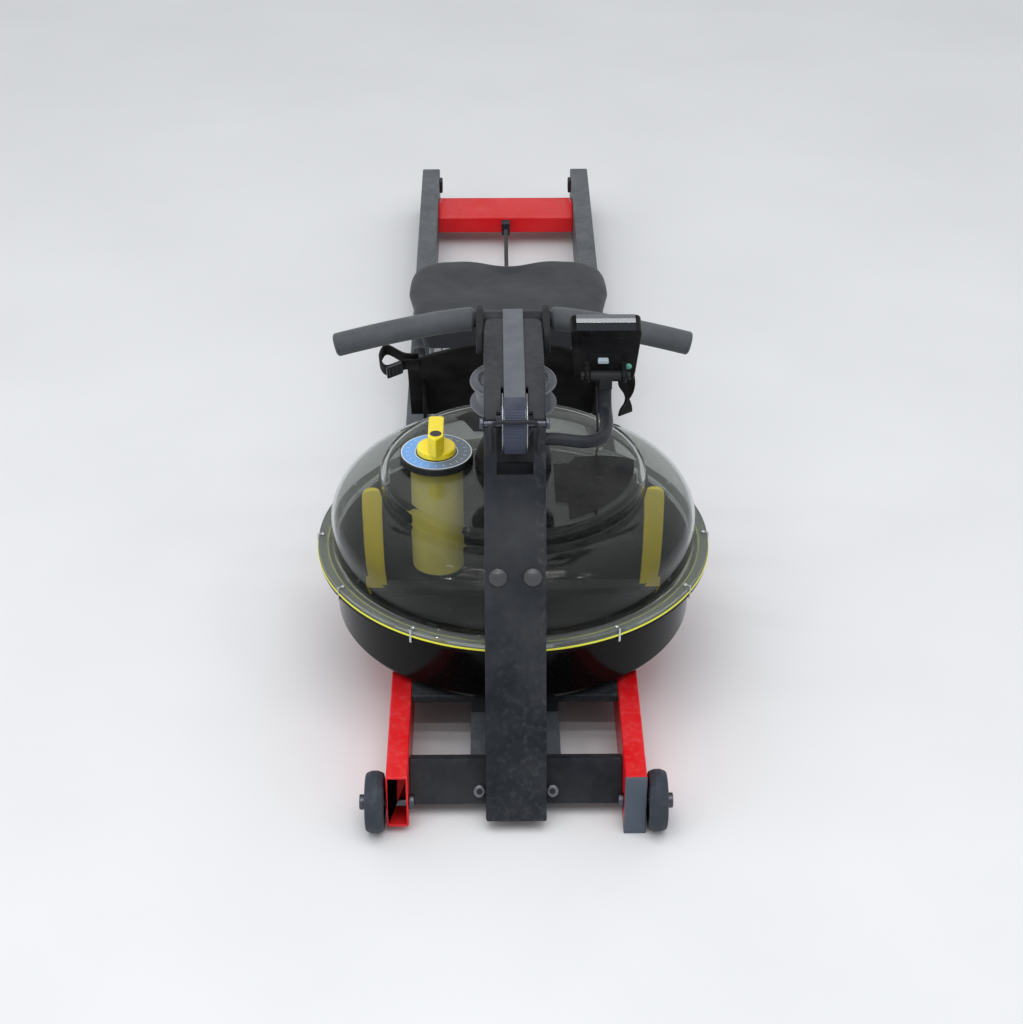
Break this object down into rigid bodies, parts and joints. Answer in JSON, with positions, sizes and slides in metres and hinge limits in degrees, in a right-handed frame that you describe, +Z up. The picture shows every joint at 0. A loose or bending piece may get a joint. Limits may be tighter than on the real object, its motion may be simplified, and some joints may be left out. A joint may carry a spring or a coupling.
{
  "type": "water rowing machine",
  "caption": "Rowing machine with a round water tank and paddle wheel, a leaning mast with a belt-driven pull handle, a footboard, and a sliding seat on long parallel rails.",
  "frame": {"origin": "on the floor, under the middle of the machine's whole length and width", "axes": "+Y along the rails from the mast and tank to the rear feet, +Z up, +X to the side of the monitor"},
  "size_m": [0.545, 2.01, 0.5706],
  "materials": {
    "red_paint": "gloss powder coat",
    "slate_paint": "satin powder coat",
    "black_paint": "satin powder coat",
    "black_rubber": "matte",
    "foam_grip": "matte foam",
    "seat_foam": "fine leather grain",
    "steel": "zinc plated",
    "black_gloss": "gloss",
    "black_matte": "matte",
    "grey_plastic": "matte",
    "smoked_clear": "smoked clear",
    "seal": "matte",
    "yellow_plastic": "satin",
    "webbing": "woven",
    "dial_face": "printed",
    "screen": "gloss"
  },
  "bodies": {
    "frame": {"left_base_tube": "red_paint", "right_base_tube": "red_paint", "left_rail": "slate_paint", "right_rail": "slate_paint", "left_rear_foot": "black_rubber", "right_rear_foot": "black_rubber", "left_rail_stop": "black_rubber", "right_rail_stop": "black_rubber", "left_wheel_axle": "steel", "right_wheel_axle": "steel", "left_mast_bolt": "black_paint", "right_mast_bolt": "black_paint", "left_cradle_ear": "black_paint", "right_cradle_ear": "black_paint", "right_end_cap": "grey_plastic", "front_cross_member": "black_paint", "centre_beam": "slate_paint", "tank_cross_bar": "black_paint", "middle_cross_member": "black_paint", "rear_crossbar": "red_paint", "mast": "black_paint", "tank_bowl": "black_gloss", "tank_gasket": "seal", "tank_dome": "smoked_clear", "bearing_tower": "black_matte", "pulley_axle": "steel", "belt_lower_run": "webbing", "belt_keeper": "black_paint", "selector_dial": "dial_face", "monitor_bracket": "black_matte", "monitor_arm": "black_paint", "footboard": "black_matte", "left_foot_strap": "webbing", "right_foot_strap": "webbing", "recoil_cord": "black_rubber", "sensor_lead": "black_rubber"},
    "left_transport_wheel": {"left_wheel": "black_rubber"},
    "right_transport_wheel": {"right_wheel": "black_rubber"},
    "handle": {"handle_bar": "black_paint", "left_grip": "foam_grip", "right_grip": "foam_grip", "belt_top_run": "webbing"},
    "pulley": {"guide_pulley": "black_matte"},
    "drum": {"drive_drum": "black_matte"},
    "paddle": {"impeller": "yellow_plastic", "drive_shaft": "steel"},
    "selector": {"selector_knob": "yellow_plastic", "selector_valve": "yellow_plastic"},
    "monitor": {"monitor_case": "black_gloss", "monitor_screen": "screen"},
    "key_1": {"monitor_key_1": "grey_plastic"},
    "key_2": {"monitor_key_2": "grey_plastic"},
    "left_heel": {"left_heel_rest": "black_matte"},
    "right_heel": {"right_heel_rest": "black_matte"},
    "seat": {"seat_pad": "seat_foam", "seat_carriage": "steel"},
    "roller_front_left": {"front_left_roller": "black_matte"},
    "roller_front_right": {"front_right_roller": "black_matte"},
    "roller_rear_left": {"rear_left_roller": "black_matte"},
    "roller_rear_right": {"rear_right_roller": "black_matte"}
  },
  "joints": [
    {"name": "left_wheel_spin", "type": "hinge", "parent": "frame", "child": "left_transport_wheel", "pos_m": [-0.181, -0.965, 0.04], "axis": [1, 0, 0], "continuous": true},
    {"name": "right_wheel_spin", "type": "hinge", "parent": "frame", "child": "right_transport_wheel", "pos_m": [0.181, -0.965, 0.04], "axis": [1, 0, 0], "continuous": true},
    {"name": "handle_pull", "type": "slide", "parent": "frame", "child": "handle", "axis": [0, 1, 0], "range_m": [0, 1.1], "stiffness_N_per_m": 20, "springref_m": -0.2, "deforming": ["belt_top_run"]},
    {"name": "pulley_spin", "type": "hinge", "parent": "frame", "child": "pulley", "pos_m": [0, -0.76103, 0.4803], "axis": [1, 0, 0], "range_deg": [-1735, 0]},
    {"name": "drum_spin", "type": "hinge", "parent": "frame", "child": "drum", "pos_m": [0, -0.585, 0.4315], "axis": [0, 0, 1], "range_deg": [-1230, 0]},
    {"name": "paddle_spin", "type": "hinge", "parent": "frame", "child": "paddle", "pos_m": [0, -0.585, 0.3], "axis": [0, 0, 1], "continuous": true},
    {"name": "selector_turn", "type": "hinge", "parent": "frame", "child": "selector", "pos_m": [-0.105, -0.572, 0.34], "axis": [0, 0, 1], "range_deg": [-90, 90]},
    {"name": "monitor_tilt", "type": "hinge", "parent": "frame", "child": "monitor", "pos_m": [0.118, -0.672, 0.5], "axis": [1, 0, 0], "range_deg": [-15, 25]},
    {"name": "key_1_press", "type": "slide", "parent": "monitor", "child": "key_1", "axis": [0, -0.9781, -0.2079], "range_m": [0, 0.001], "stiffness_N_per_m": 400, "springref_m": -0.0005},
    {"name": "key_2_press", "type": "slide", "parent": "monitor", "child": "key_2", "axis": [0, -0.9781, -0.2079], "range_m": [0, 0.001], "stiffness_N_per_m": 400, "springref_m": -0.0005},
    {"name": "left_heel_slide", "type": "slide", "parent": "frame", "child": "left_heel", "axis": [0, -0.5736, 0.8191], "range_m": [-0.02, 0.04]},
    {"name": "right_heel_slide", "type": "slide", "parent": "frame", "child": "right_heel", "axis": [0, -0.5736, 0.8191], "range_m": [-0.02, 0.04]},
    {"name": "seat_slide", "type": "slide", "parent": "frame", "child": "seat", "axis": [0, 1, 0], "range_m": [-0.14, 0.66]},
    {"name": "front_left_roller_spin", "type": "hinge", "parent": "seat", "child": "roller_front_left", "pos_m": [-0.152, 0.113, 0.1159], "axis": [1, 0, 0], "range_deg": [-1725, 370]},
    {"name": "front_right_roller_spin", "type": "hinge", "parent": "seat", "child": "roller_front_right", "pos_m": [0.152, 0.113, 0.1159], "axis": [1, 0, 0], "range_deg": [-1725, 370]},
    {"name": "rear_left_roller_spin", "type": "hinge", "parent": "seat", "child": "roller_rear_left", "pos_m": [-0.152, 0.261, 0.1159], "axis": [1, 0, 0], "range_deg": [-1725, 370]},
    {"name": "rear_right_roller_spin", "type": "hinge", "parent": "seat", "child": "roller_rear_right", "pos_m": [0.152, 0.261, 0.1159], "axis": [1, 0, 0], "range_deg": [-1725, 370]}
  ],
  "couplings": [
    {"joint": "pulley_spin", "follows": "handle_pull", "rad_per_m": -27.473},
    {"joint": "drum_spin", "follows": "handle_pull", "rad_per_m": -19.455},
    {"joint": "front_left_roller_spin", "follows": "seat_slide", "rad_per_m": -45.455},
    {"joint": "front_right_roller_spin", "follows": "seat_slide", "rad_per_m": -45.455},
    {"joint": "rear_left_roller_spin", "follows": "seat_slide", "rad_per_m": -45.455},
    {"joint": "rear_right_roller_spin", "follows": "seat_slide", "rad_per_m": -45.455}
  ]
}
